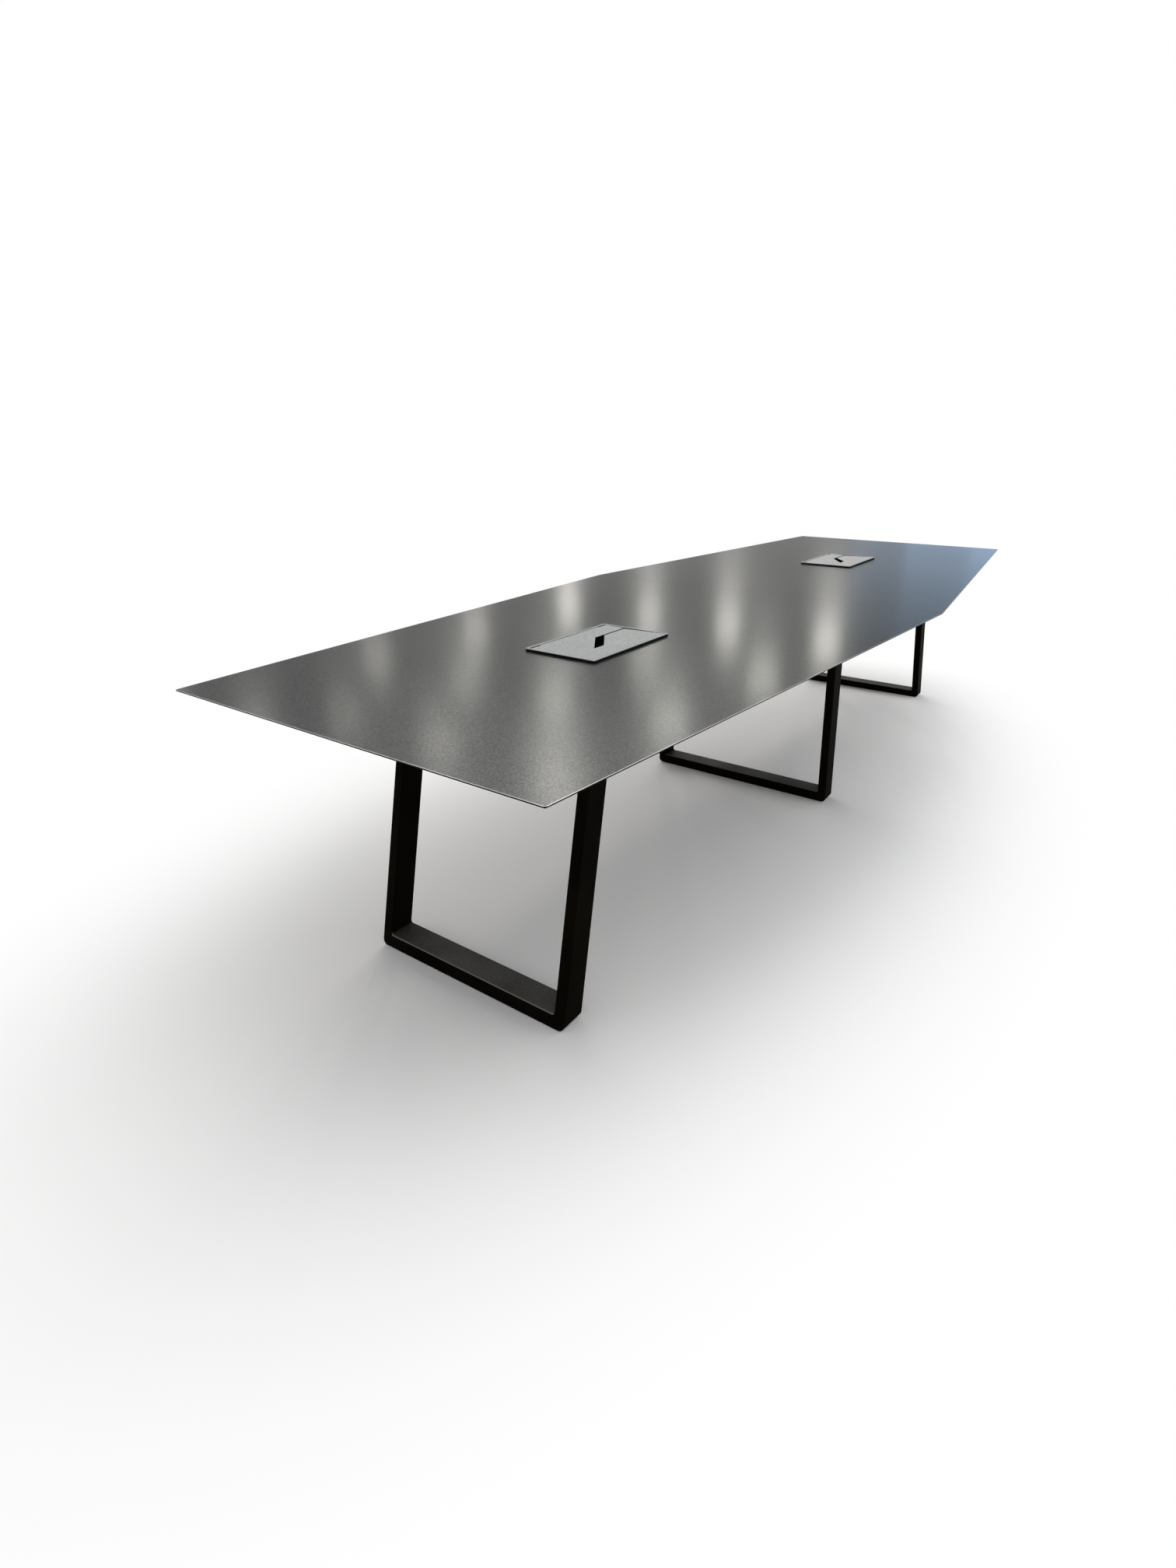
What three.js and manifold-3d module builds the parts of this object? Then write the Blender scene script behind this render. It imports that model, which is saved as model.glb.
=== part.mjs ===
// A conference table: a boat-shaped top in two halves, three flat-tube legs tied by
// two lines of channel rail, and two power boxes let into the top on the centre line.
// Millimetres, +Z up, floor at z = 0, the long way of the top along X, middle at x = y = 0.
// Left is -X, right is +X, front is -Y, rear is +Y.
import * as THREE from "three";
import { mergeVertices } from "three/addons/utils/BufferGeometryUtils.js";
import Module from "manifold-3d";

const wasm = await Module();
wasm.setup();

// Top
const TOP_LENGTH = 3658;
const TOP_WIDTH_MID = 1372;
const TOP_WIDTH_END = 1067;
const TOP_HEIGHT = 749;
const TOP_THICK = 32;
const TOP_NOSE = 3; // left at the knife edge
const TOP_UNDERCUT = 120; // how far the bevel under the edge runs in
const TOP_ARRIS = 0.5; // chamfer round the upper edge
const TOP_CORNER_R = 5;
const SEAM_GAP = 0.4; // hairline between the halves

// Seam fixings
const SPLINE_THICK = 6;
const SPLINE_WIDTH = 23;
const SPLINE_END_INSET = 26; // behind the start of the bevel
const SPLINE_DOWN = 14; // middle of the loose tongue, below the surface
const SPLINE_FIT = 0.3;
const DRAW_BOLT_OUT = 110; // beyond the outside of the middle leg
const DRAW_BOLT_R = 4;
const DRAW_BOLT_UP = 7; // above the underside
const CLEAT_R = 14;
const CLEAT_TALL = 13;
const CLEAT_X = 60; // from the seam to each cleat
const POCKET_FIT = 0.5;

// Legs
const TUBE_WIDE = 70; // along the table
const UPRIGHT_THICK = 30; // across the table
const FOOT_THICK = 35.5; // height of the bottom tube
const TUBE_ARRIS_R = 3;
const CORNER_OUTSIDE_R = 16;
const CORNER_INSIDE_R = 6;
const END_LEG_HALF_WIDTH = 305;
const MID_LEG_HALF_WIDTH = 360;
const END_LEG_FOOT_X = 1491;
const END_LEG_LEAN_DEG = 11.2; // outwards along the table
const LEG_PLATE_THICK = 8;

// Glides
const GLIDE_TALL = 1.5;
const GLIDE_R = 15;
const GLIDE_STEM_R = 4;
const GLIDE_STEM_LONG = 14;
const GLIDE_INSET = 62; // from the outside of the leg
const GLIDE_FIT = 0.2;

// Rails and screws
const RAIL_Y = 190;
const RAIL_WIDE = 40;
const RAIL_TALL = 30;
const RAIL_WALL = 3;
const RAIL_END_GAP = 1; // from the seam to each rail
const SCREW_R = 3;
const SCREW_HEAD_R = 6;
const SCREW_HEAD_TALL = 4;
const SCREW_BITE = 18; // into the top
const SCREW_FIT = 0.3;
const END_SCREW_INSET = 57; // from the outside of an end leg
const MID_SCREW_X = 18;

// Power boxes
const BOX_X = 949; // from the middle of the table
const BOX_LENGTH = 361;
const BOX_WIDTH = 228;
const BOX_RIM = 8; // width of the trim seen from above
const BOX_RISE = 7; // trim above the table
const TRIM_THICK = 2;
const TRIM_CHAMFER = 0.5;
const HOUSING_INSET = 1.5; // flange edge behind the trim edge
const FLANGE_BEARING = 12; // flange lying on the table beyond the cut-out
const SEAT_DEEP = 1; // shallow rebate that takes the flange
const SEAT_MARGIN = 1; // rebate beyond the trim
const CUTOUT_FIT = 1.5;
const HOUSING_WALL = 3;
const HOUSING_FLOOR = 2;
const HOUSING_DEPTH = 94; // below the table surface
const CABLE_HOLE_R = 17;
const CABLE_HOLE_INSET = 52; // from each end of the well

// Doors
const DOOR_THICK = 3;
const DOOR_BELOW_RIM = 0.4;
const DOOR_END_GAP = 1.2;
const DOOR_EDGE = 0.4; // broken edge of the sheet
const BARREL_R = 3;
const BARREL_GAP = 0.8;
const BARREL_NOTCH = 38; // bare rod at each end of the rear barrel
const BARREL_NOTCH_DEEP = 2; // into the sheet beyond the rod
const ROD_R = 1.2;
const ROD_FIT = 0.1;
const ROD_LAP = 4; // rod into each end wall
const SPLIT_Y = 34.5; // half the step in the meeting line
const SPLIT_GAP = 3;
const SLOT_INNER_X = 30;
const SLOT_OUTER_X = 70;
const DOOR_DROOP = 1.2; // degrees the closed doors hang below level
const PAD_CLEARANCE = 0.4;
const PAD_LENGTH = 12;
const PAD_WIDTH = 9;

// Sockets and clamps
const MODULE_END_GAP = 14; // from each end of the well
const MODULE_DEEP = 56;
const MODULE_TALL = 49;
const MODULE_LIP = 23; // height of the low edge of the sloping face
const MODULE_SHELF = 18; // flat along the back of the module
const MODULE_GAP = 0.6;
const OUTLETS = 3;
const JACKS = 4;
const CLAMP_LENGTH = 40;
const CLAMP_FOOT = 30;
const CLAMP_DROP = 32;
const CLAMP_THICK = 3;

// Levels and half sizes that follow
const HALF_LENGTH = TOP_LENGTH / 2;
const HALF_MID = TOP_WIDTH_MID / 2;
const HALF_END = TOP_WIDTH_END / 2;
const UNDERSIDE = TOP_HEIGHT - TOP_THICK;
const PLATE_UNDER = UNDERSIDE - LEG_PLATE_THICK;
const END_LEG_SLOPE = Math.tan(THREE.MathUtils.degToRad(END_LEG_LEAN_DEG));
const RAIL_WEB_UNDER = PLATE_UNDER - RAIL_WALL;
const SPLINE_LENGTH = TOP_WIDTH_MID - 2 * (TOP_UNDERCUT + SPLINE_END_INSET);
const SPLINE_Z = TOP_HEIGHT - SPLINE_DOWN;
const DRAW_BOLT_Y = MID_LEG_HALF_WIDTH + DRAW_BOLT_OUT;
const DRAW_BOLT_Z = UNDERSIDE + DRAW_BOLT_UP;
const END_SCREW_Y = END_LEG_HALF_WIDTH - END_SCREW_INSET;
const END_PLATE_X = END_LEG_FOOT_X - END_LEG_SLOPE * UNDERSIDE;
const TRIM_TOP = TOP_HEIGHT + BOX_RISE;
const TRIM_UNDER = TRIM_TOP - TRIM_THICK;
const FLANGE_UNDER = TOP_HEIGHT - SEAT_DEEP;
const BAY_LENGTH = BOX_LENGTH - 2 * BOX_RIM;
const BAY_WIDTH = BOX_WIDTH - 2 * BOX_RIM;
const FLANGE_LENGTH = BOX_LENGTH - 2 * HOUSING_INSET;
const FLANGE_WIDTH = BOX_WIDTH - 2 * HOUSING_INSET;
const CUT_LENGTH = FLANGE_LENGTH - 2 * FLANGE_BEARING;
const CUT_WIDTH = FLANGE_WIDTH - 2 * FLANGE_BEARING;
const BODY_LENGTH = CUT_LENGTH - 2 * CUTOUT_FIT;
const BODY_WIDTH = CUT_WIDTH - 2 * CUTOUT_FIT;
const WELL_LENGTH = BODY_LENGTH - 2 * HOUSING_WALL;
const WELL_WIDTH = BODY_WIDTH - 2 * HOUSING_WALL;
const CABLE_HOLE_X = WELL_LENGTH / 2 - CABLE_HOLE_INSET;
const MODULE_LENGTH = WELL_LENGTH - 2 * MODULE_END_GAP;
const WELL_FLOOR = TOP_HEIGHT - HOUSING_DEPTH + HOUSING_FLOOR;
const AXIS_Y = BAY_WIDTH / 2 - BARREL_R - BARREL_GAP;
const AXIS_Z = TRIM_TOP - DOOR_BELOW_RIM - BARREL_R;
const DOOR_HALF = BAY_LENGTH / 2 - DOOR_END_GAP;

const laminate = new THREE.MeshStandardMaterial({ color: 0x6c6d6e, roughness: 0.38, metalness: 0.25 });
const powderBlack = new THREE.MeshStandardMaterial({ color: 0x171514, roughness: 0.5, metalness: 0.2 });
const aluminium = new THREE.MeshStandardMaterial({ color: 0xb4b8b8, roughness: 0.35, metalness: 0.9 });
const blackPlastic = new THREE.MeshStandardMaterial({ color: 0x101010, roughness: 0.6, metalness: 0 });
const zincSteel = new THREE.MeshStandardMaterial({ color: 0x9ba0a4, roughness: 0.4, metalness: 0.9 });
const beech = new THREE.MeshStandardMaterial({ color: 0xb98c5a, roughness: 0.7, metalness: 0 });

const table = new THREE.Group();

// Turns a closed three.js geometry into a solid for cutting and joining.
function solid(geometry) {
  const bare = geometry.clone();
  bare.deleteAttribute("normal");
  bare.deleteAttribute("uv");
  const merged = mergeVertices(bare, 1e-4);
  return new wasm.Manifold(
    new wasm.Mesh({
      numProp: 3,
      vertProperties: new Float32Array(merged.attributes.position.array),
      triVerts: new Uint32Array(merged.index.array),
    }),
  );
}

// Adds a finished solid to the table as a named mesh, moved along X if asked.
function put(name, made, material, x = 0) {
  const out = made.getMesh();
  const geometry = new THREE.BufferGeometry();
  geometry.setAttribute("position", new THREE.BufferAttribute(new Float32Array(out.vertProperties), 3));
  geometry.setIndex(new THREE.BufferAttribute(new Uint32Array(out.triVerts), 1));
  geometry.computeVertexNormals();
  const mesh = new THREE.Mesh(geometry, material);
  mesh.name = name;
  mesh.position.x = x;
  table.add(mesh);
}

function block(x0, x1, y0, y1, z0, z1) {
  const geometry = new THREE.BoxGeometry(x1 - x0, y1 - y0, z1 - z0);
  return solid(geometry.translate((x0 + x1) / 2, (y0 + y1) / 2, (z0 + z1) / 2));
}

function uprightRod(x, y, z0, z1, radius, sides = 16) {
  const geometry = new THREE.CylinderGeometry(radius, radius, z1 - z0, sides);
  return solid(geometry.rotateX(Math.PI / 2).translate(x, y, (z0 + z1) / 2));
}

function lengthwiseRod(x0, x1, y, z, radius, sides = 16) {
  const geometry = new THREE.CylinderGeometry(radius, radius, x1 - x0, sides);
  return solid(geometry.rotateZ(Math.PI / 2).translate((x0 + x1) / 2, y, z));
}

function roundedOutline(length, width, radius) {
  const x = length / 2;
  const y = width / 2;
  const outline = new THREE.Shape();
  outline.absarc(x - radius, y - radius, radius, 0, Math.PI / 2);
  outline.absarc(-x + radius, y - radius, radius, Math.PI / 2, Math.PI);
  outline.absarc(-x + radius, -y + radius, radius, Math.PI, 1.5 * Math.PI);
  outline.absarc(x - radius, -y + radius, radius, 1.5 * Math.PI, 2 * Math.PI);
  return outline;
}

function roundedBlock(length, width, radius, z0, z1) {
  const settings = { depth: z1 - z0, bevelEnabled: false, curveSegments: 3 };
  const geometry = new THREE.ExtrudeGeometry(roundedOutline(length, width, radius), settings);
  return solid(geometry.translate(0, 0, z0));
}

// Extrudes an outline drawn in Y and Z along X, from x0 to x1.
const ALONG_X = new THREE.Matrix4().makeBasis(
  new THREE.Vector3(0, 1, 0),
  new THREE.Vector3(0, 0, 1),
  new THREE.Vector3(1, 0, 0),
);
function lengthwisePrism(outline, x0, x1) {
  const geometry = new THREE.ExtrudeGeometry(outline, { depth: x1 - x0, bevelEnabled: false });
  return solid(geometry.applyMatrix4(ALONG_X).translate(x0, 0, 0));
}

function polygon(points) {
  return new THREE.Shape(points.map(([x, y]) => new THREE.Vector2(x, y)));
}

// Wedge cut along one edge of the top: its section is drawn outwards and upwards from the edge.
function edgeWedge(from, to, section) {
  const along = new THREE.Vector3(to[0] - from[0], to[1] - from[1], 0);
  const reach = along.length() + 400;
  along.normalize();
  const up = new THREE.Vector3(0, 0, 1);
  const outward = new THREE.Vector3().crossVectors(along, up);
  const run = new THREE.Vector3().crossVectors(outward, up);
  const geometry = new THREE.ExtrudeGeometry(polygon(section), { depth: reach, bevelEnabled: false });
  const placed = new THREE.Matrix4().makeBasis(outward, up, run);
  const middle = new THREE.Vector3((from[0] + to[0]) / 2, (from[1] + to[1]) / 2, 0);
  placed.setPosition(middle.addScaledVector(run, -reach / 2));
  return solid(geometry.applyMatrix4(placed));
}

// Left half of the top, with its knife edge, box cut-out, seam joinery and screw holes.
// The right half is the same panel turned half a turn about the middle of the table.
function topHalf() {
  const seam = -SEAM_GAP / 2;
  const corners = [
    [seam, HALF_MID],
    [-HALF_LENGTH, HALF_END],
    [-HALF_LENGTH, -HALF_END],
    [seam, -HALF_MID],
  ];
  const slope = (HALF_MID - HALF_END) / HALF_LENGTH;
  const round = TOP_CORNER_R;
  const outline = new THREE.Shape();
  outline.moveTo(...corners[0]);
  outline.lineTo(-HALF_LENGTH + round, HALF_END + slope * round);
  outline.quadraticCurveTo(-HALF_LENGTH, HALF_END, -HALF_LENGTH, HALF_END - round);
  outline.lineTo(-HALF_LENGTH, -HALF_END + round);
  outline.quadraticCurveTo(-HALF_LENGTH, -HALF_END, -HALF_LENGTH + round, -HALF_END - slope * round);
  outline.lineTo(...corners[3]);
  const settings = { depth: TOP_THICK, bevelEnabled: false, curveSegments: 4 };
  let panel = solid(new THREE.ExtrudeGeometry(outline, settings).translate(0, 0, UNDERSIDE));

  const rise = (TOP_THICK - TOP_NOSE) / TOP_UNDERCUT;
  const over = 20;
  const undercut = [
    [over, TOP_HEIGHT - TOP_NOSE + rise * over],
    [-TOP_UNDERCUT - over, UNDERSIDE - rise * over],
    [over, UNDERSIDE - rise * over],
  ];
  const arris = [
    [-TOP_ARRIS - 1, TOP_HEIGHT + 1],
    [1, TOP_HEIGHT - TOP_ARRIS - 1],
    [1, TOP_HEIGHT + 1],
  ];
  for (let i = 0; i < 3; i++) {
    panel = panel.subtract(edgeWedge(corners[i], corners[i + 1], undercut));
    panel = panel.subtract(edgeWedge(corners[i], corners[i + 1], arris));
  }

  const cutOut = roundedBlock(CUT_LENGTH, CUT_WIDTH, 4, UNDERSIDE - 1, TOP_HEIGHT + 1);
  const seat = roundedBlock(
    BOX_LENGTH + 2 * SEAT_MARGIN,
    BOX_WIDTH + 2 * SEAT_MARGIN,
    5,
    FLANGE_UNDER,
    TOP_HEIGHT + 1,
  );
  panel = panel.subtract(cutOut.add(seat).translate([-BOX_X, 0, 0]));

  const grooveDeep = SPLINE_WIDTH / 2 + SPLINE_FIT;
  const grooveHalf = SPLINE_LENGTH / 2 + SPLINE_FIT;
  const grooveTall = SPLINE_THICK / 2 + SPLINE_FIT;
  panel = panel.subtract(
    block(-grooveDeep, 1, -grooveHalf, grooveHalf, SPLINE_Z - grooveTall, SPLINE_Z + grooveTall),
  );
  for (const y of [-DRAW_BOLT_Y, DRAW_BOLT_Y]) {
    const roof = DRAW_BOLT_Z + CLEAT_TALL / 2 + POCKET_FIT;
    const half = DRAW_BOLT_R + POCKET_FIT;
    panel = panel.subtract(uprightRod(-CLEAT_X, y, UNDERSIDE - 1, roof, CLEAT_R + POCKET_FIT, 24));
    panel = panel.subtract(block(-CLEAT_X, 1, y - half, y + half, UNDERSIDE - 1, DRAW_BOLT_Z + half));
  }
  for (const [x, y] of [...endScrews(), ...midScrews().filter(([x]) => x < 0)]) {
    panel = panel.subtract(
      uprightRod(x, y, UNDERSIDE - 1, UNDERSIDE + SCREW_BITE + 1, SCREW_R + SCREW_FIT, 12),
    );
  }
  return panel;
}

// Where the screws of the left leg and of the middle leg go.
function endScrews() {
  const x = -END_PLATE_X;
  return [
    [x, -END_SCREW_Y],
    [x, -RAIL_Y],
    [x, RAIL_Y],
    [x, END_SCREW_Y],
  ];
}
function midScrews() {
  return [
    [-MID_SCREW_X, -RAIL_Y],
    [MID_SCREW_X, -RAIL_Y],
    [-MID_SCREW_X, RAIL_Y],
    [MID_SCREW_X, RAIL_Y],
  ];
}

const leftPanel = topHalf();
put("top_left", leftPanel, laminate);
put("top_right", leftPanel.rotate([0, 0, 180]), laminate);

// Loose tongue in the grooves of the seam, and the two bolts that draw the halves together
const tongueHalf = SPLINE_THICK / 2;
put(
  "seam_spline",
  block(
    -SPLINE_WIDTH / 2,
    SPLINE_WIDTH / 2,
    -SPLINE_LENGTH / 2,
    SPLINE_LENGTH / 2,
    SPLINE_Z - tongueHalf,
    SPLINE_Z + tongueHalf,
  ),
  beech,
);
for (const [end, y] of [
  ["front", -DRAW_BOLT_Y],
  ["rear", DRAW_BOLT_Y],
]) {
  const low = DRAW_BOLT_Z - CLEAT_TALL / 2;
  const high = DRAW_BOLT_Z + CLEAT_TALL / 2;
  let bolt = lengthwiseRod(-CLEAT_X - CLEAT_R / 2, CLEAT_X + CLEAT_R / 2, y, DRAW_BOLT_Z, DRAW_BOLT_R);
  bolt = bolt.add(uprightRod(-CLEAT_X, y, low, high, CLEAT_R, 24));
  bolt = bolt.add(uprightRod(CLEAT_X, y, low, high, CLEAT_R, 24));
  put("seam_bolt_" + end, bolt, zincSteel);
}

// A leg: two flat-tube uprights welded to a deeper foot, with rounded corners, and a plate
// welded across the top. It leans by sliding each level along X, so foot and plate stay level.
function leg(halfWidth, footX, lean, screws) {
  const inner = halfWidth - UPRIGHT_THICK;
  const low = GLIDE_TALL;
  const outerTurn = low + CORNER_OUTSIDE_R;
  const innerTurn = low + FOOT_THICK + CORNER_INSIDE_R;
  const high = PLATE_UNDER + LEG_PLATE_THICK / 2;
  const loop = new THREE.Shape();
  loop.moveTo(-halfWidth, high);
  loop.lineTo(-halfWidth, outerTurn);
  loop.absarc(-halfWidth + CORNER_OUTSIDE_R, outerTurn, CORNER_OUTSIDE_R, Math.PI, 1.5 * Math.PI);
  loop.absarc(halfWidth - CORNER_OUTSIDE_R, outerTurn, CORNER_OUTSIDE_R, 1.5 * Math.PI, 2 * Math.PI);
  loop.lineTo(halfWidth, high);
  loop.lineTo(inner, high);
  loop.absarc(inner - CORNER_INSIDE_R, innerTurn, CORNER_INSIDE_R, 0, -Math.PI / 2, true);
  loop.absarc(-inner + CORNER_INSIDE_R, innerTurn, CORNER_INSIDE_R, -Math.PI / 2, -Math.PI, true);
  loop.lineTo(-inner, high);
  const settings = {
    depth: TUBE_WIDE - 2 * TUBE_ARRIS_R,
    bevelThickness: TUBE_ARRIS_R,
    bevelSize: TUBE_ARRIS_R,
    bevelOffset: -TUBE_ARRIS_R,
    bevelSegments: 2,
    curveSegments: 6,
  };
  const tube = new THREE.ExtrudeGeometry(loop, settings).applyMatrix4(ALONG_X);
  tube.translate(TUBE_ARRIS_R - TUBE_WIDE / 2, 0, 0);
  tube.applyMatrix4(new THREE.Matrix4().set(1, 0, lean, footX, 0, 1, 0, 0, 0, 0, 1, 0, 0, 0, 0, 1));
  const plateX = footX + lean * UNDERSIDE;
  const half = TUBE_WIDE / 2;
  let made = solid(tube);
  made = made.add(block(plateX - half, plateX + half, -halfWidth, halfWidth, PLATE_UNDER, UNDERSIDE));
  for (const [x, y] of screws) {
    made = made.subtract(uprightRod(x, y, PLATE_UNDER - 1, UNDERSIDE + 1, SCREW_R + SCREW_FIT, 12));
  }
  for (const y of [-halfWidth + GLIDE_INSET, halfWidth - GLIDE_INSET]) {
    const roof = GLIDE_TALL + GLIDE_STEM_LONG + 1;
    made = made.subtract(uprightRod(glideX(footX, lean), y, 0, roof, GLIDE_STEM_R + GLIDE_FIT));
  }
  return made;
}

// Glides sit under the middle of the tube where it meets them.
function glideX(footX, lean) {
  return footX + lean * GLIDE_TALL;
}
function glide(x, y) {
  const rim = 0.6;
  const profile = [
    [0, 0],
    [GLIDE_R - rim, 0],
    [GLIDE_R, rim],
    [GLIDE_R, GLIDE_TALL],
    [GLIDE_STEM_R, GLIDE_TALL],
    [GLIDE_STEM_R, GLIDE_TALL + GLIDE_STEM_LONG],
    [0, GLIDE_TALL + GLIDE_STEM_LONG],
  ].map(([r, z]) => new THREE.Vector2(r, z));
  return solid(new THREE.LatheGeometry(profile, 24).rotateX(Math.PI / 2).translate(x, y, 0));
}

// A socket-head screw driven up from below, its head under the level given.
function screw(x, y, seat) {
  const under = seat - SCREW_HEAD_TALL;
  const tip = UNDERSIDE + SCREW_BITE;
  const socket = SCREW_HEAD_TALL / 2;
  const profile = [
    [0, under + socket],
    [2, under + socket],
    [2, under],
    [SCREW_HEAD_R - 1, under],
    [SCREW_HEAD_R, under + 1.5],
    [SCREW_HEAD_R, seat],
    [SCREW_R, seat],
    [SCREW_R, tip - SCREW_R],
    [1, tip],
    [0, tip],
  ].map(([r, z]) => new THREE.Vector2(r, z));
  return solid(new THREE.LatheGeometry(profile, 12).rotateX(Math.PI / 2).translate(x, y, 0));
}

const turned = (points) => points.map(([x, y]) => [-x, -y]);
const legs = [
  ["left", END_LEG_HALF_WIDTH, -END_LEG_FOOT_X, END_LEG_SLOPE, endScrews()],
  ["mid", MID_LEG_HALF_WIDTH, 0, 0, midScrews()],
  ["right", END_LEG_HALF_WIDTH, END_LEG_FOOT_X, -END_LEG_SLOPE, turned(endScrews()).reverse()],
];
for (const [name, halfWidth, footX, lean, screws] of legs) {
  put("leg_" + name, leg(halfWidth, footX, lean, screws), powderBlack);
  for (const [end, side] of [
    ["front", -1],
    ["rear", 1],
  ]) {
    const y = side * (halfWidth - GLIDE_INSET);
    put("glide_" + name + "_" + end, glide(glideX(footX, lean), y), blackPlastic);
  }
  screws.forEach(([x, y], i) => {
    const seat = Math.abs(y) === RAIL_Y ? RAIL_WEB_UNDER : PLATE_UNDER;
    put("screw_" + name + "_" + (i + 1), screw(x, y, seat), zincSteel);
  });
}

// Four channel rails, open side down, run under the leg plates and tie the legs together
const railHalf = RAIL_WIDE / 2;
const railFoot = PLATE_UNDER - RAIL_TALL;
const channel = polygon([
  [-railHalf, railFoot],
  [-railHalf + RAIL_WALL, railFoot],
  [-railHalf + RAIL_WALL, RAIL_WEB_UNDER],
  [railHalf - RAIL_WALL, RAIL_WEB_UNDER],
  [railHalf - RAIL_WALL, railFoot],
  [railHalf, railFoot],
  [railHalf, PLATE_UNDER],
  [-railHalf, PLATE_UNDER],
]);
for (const [end, side] of [
  ["front", -1],
  ["rear", 1],
]) {
  const y = side * RAIL_Y;
  let rail = lengthwisePrism(channel, -END_PLATE_X - TUBE_WIDE / 2, -RAIL_END_GAP);
  for (const x of [-END_PLATE_X, -MID_SCREW_X]) {
    rail = rail.subtract(uprightRod(x, 0, RAIL_WEB_UNDER - 1, PLATE_UNDER + 1, SCREW_R + SCREW_FIT, 12));
  }
  put("rail_left_" + end, rail.translate([0, y, 0]), powderBlack);
  put("rail_right_" + end, rail.rotate([0, 0, 180]).translate([0, y, 0]), powderBlack);
}

// Power box housing: a moulded well with a flange seated in the table, a hinge bay round
// its mouth, slots for the hinge rods, rest pads for the doors and cable holes in the floor.
function housing() {
  const low = TOP_HEIGHT - HOUSING_DEPTH;
  const bayFloor = TOP_HEIGHT;
  let made = roundedBlock(BODY_LENGTH, BODY_WIDTH, 4, low, TOP_HEIGHT + 1);
  made = made.add(roundedBlock(FLANGE_LENGTH, FLANGE_WIDTH, 4, FLANGE_UNDER, TRIM_UNDER));
  made = made.subtract(roundedBlock(BAY_LENGTH, BAY_WIDTH, 2, bayFloor, TRIM_UNDER + 1));
  made = made.subtract(roundedBlock(WELL_LENGTH, WELL_WIDTH, 3, WELL_FLOOR, TRIM_UNDER + 1));
  const padTop = doorUnderAt(SPLIT_Y - SPLIT_GAP / 2) - PAD_CLEARANCE;
  const padOuter = BAY_LENGTH / 2 - 1;
  const pad = block(-padOuter, -padOuter + PAD_WIDTH, 0, PAD_LENGTH, bayFloor - 0.1, padTop);
  const rear = pad.translate([0, -SPLIT_Y + SPLIT_GAP, 0]);
  made = made.add(rear).add(rear.rotate([0, 0, 180]));
  const slotHalf = ROD_R + ROD_FIT;
  const slotEnd = BAY_LENGTH / 2 + ROD_LAP + 0.3;
  for (const y of [-AXIS_Y, AXIS_Y]) {
    made = made.subtract(
      block(-slotEnd, slotEnd, y - slotHalf, y + slotHalf, AXIS_Z - slotHalf, TRIM_UNDER + 1),
    );
  }
  for (const x of [-CABLE_HOLE_X, CABLE_HOLE_X]) {
    made = made.subtract(uprightRod(x, 0, low - 1, WELL_FLOOR + 1, CABLE_HOLE_R, 24));
  }
  return made;
}

// Height of the drooped door's underside at its free edge, beyond the middle of the box.
function doorUnderAt(beyond) {
  return AXIS_Z - (AXIS_Y + beyond) * Math.sin(THREE.MathUtils.degToRad(DOOR_DROOP));
}

// Trim: a flat aluminium ring over the flange, which also holds the hinge rods down.
function trim() {
  const ring = roundedOutline(BOX_LENGTH, BOX_WIDTH, 4);
  ring.holes.push(new THREE.Path(roundedOutline(BAY_LENGTH, BAY_WIDTH, 2).getPoints(3)));
  const settings = {
    depth: TRIM_THICK - 2 * TRIM_CHAMFER,
    bevelThickness: TRIM_CHAMFER,
    bevelSize: TRIM_CHAMFER,
    bevelOffset: -TRIM_CHAMFER,
    bevelSegments: 1,
    curveSegments: 3,
  };
  const geometry = new THREE.ExtrudeGeometry(ring, settings);
  return solid(geometry.translate(0, 0, TRIM_UNDER + TRIM_CHAMFER));
}

// Door, drawn as the rear one: a stepped sheet with a hinge barrel along its rear edge. The
// step in its free edge leaves a slanting cable slot against the other door, turned round.
function door(bareEnds) {
  const half = SPLIT_GAP / 2;
  const sheet = polygon([
    [-DOOR_HALF, -SPLIT_Y + half],
    [-SLOT_OUTER_X, -SPLIT_Y + half],
    [SLOT_INNER_X, SPLIT_Y + half],
    [DOOR_HALF, SPLIT_Y + half],
    [DOOR_HALF, AXIS_Y + DOOR_EDGE],
    [-DOOR_HALF, AXIS_Y + DOOR_EDGE],
  ]);
  const settings = {
    depth: DOOR_THICK - 2 * DOOR_EDGE,
    bevelThickness: DOOR_EDGE,
    bevelSize: DOOR_EDGE,
    bevelOffset: -DOOR_EDGE,
    bevelSegments: 1,
  };
  const flat = new THREE.ExtrudeGeometry(sheet, settings).translate(0, 0, AXIS_Z + DOOR_EDGE);
  let made = solid(flat);
  made = made.add(lengthwiseRod(-DOOR_HALF, DOOR_HALF, AXIS_Y, AXIS_Z, BARREL_R, 24));
  made = made.subtract(lengthwiseRod(-DOOR_HALF - 1, DOOR_HALF + 1, AXIS_Y, AXIS_Z, ROD_R + ROD_FIT));
  if (bareEnds) {
    const from = AXIS_Y - ROD_R - BARREL_NOTCH_DEEP;
    const past = AXIS_Y + BARREL_R + 1;
    const notch = block(DOOR_HALF - BARREL_NOTCH, DOOR_HALF + 1, from, past, AXIS_Z - BARREL_R - 1, TRIM_TOP);
    made = made.subtract(notch).subtract(notch.translate([BARREL_NOTCH - 2 * DOOR_HALF - 1, 0, 0]));
  }
  return made.translate([0, -AXIS_Y, -AXIS_Z]).rotate([DOOR_DROOP, 0, 0]).translate([0, AXIS_Y, AXIS_Z]);
}

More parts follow.
